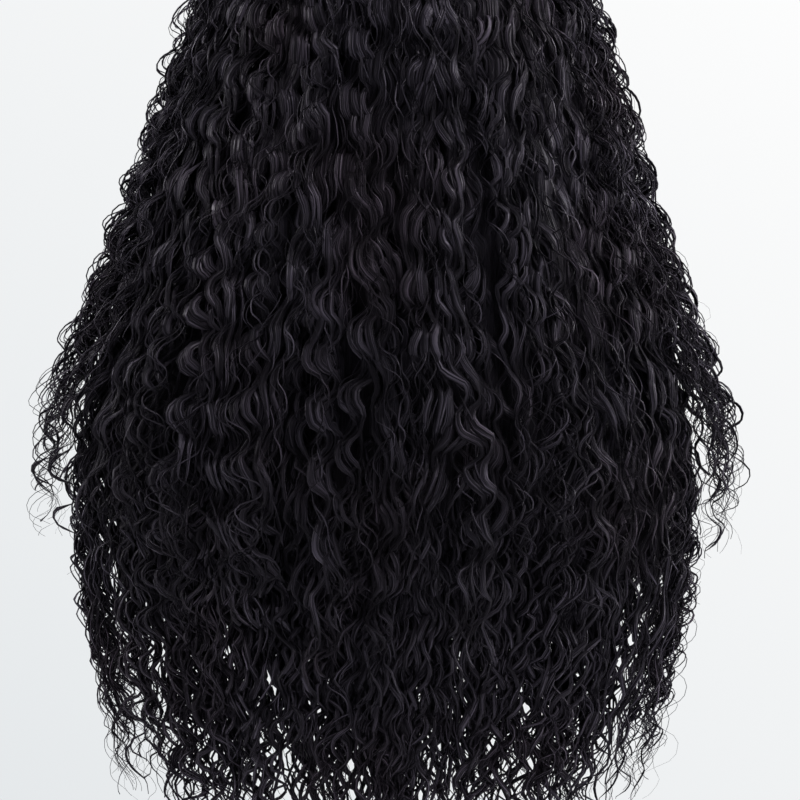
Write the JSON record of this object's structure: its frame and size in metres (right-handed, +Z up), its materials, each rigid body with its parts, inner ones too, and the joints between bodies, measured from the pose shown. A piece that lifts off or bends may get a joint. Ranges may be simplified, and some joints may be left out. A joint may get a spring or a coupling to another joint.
{
  "type": "curly wig",
  "caption": "Long, full curly wig with a middle parting: a thin cap that a head goes into, and an outer and an inner layer of wavy locks that hang open at the face.",
  "frame": {"origin": "middle of the cap's rim plane, at brow height, where the wearer's head carries the wig", "axes": "+Z up, the wearer's face towards -Y, +X to the wearer's left"},
  "size_m": [0.4523, 0.241, 0.7742],
  "materials": {
    "net": "fine black net, matte",
    "hair": "synthetic hair fibre in wavy locks, near black, with a soft cool sheen"
  },
  "bodies": {
    "root": {"cap": "net", "lower_weft_left_front": "hair", "lower_weft_left_side": "hair", "lower_weft_left_back": "hair", "lower_weft_right_back": "hair", "lower_weft_right_side": "hair", "lower_weft_right_front": "hair", "upper_weft_left_front": "hair", "upper_weft_left_side": "hair", "upper_weft_left_back": "hair", "upper_weft_right_back": "hair", "upper_weft_right_side": "hair", "upper_weft_right_front": "hair"}
  },
  "joints": []
}
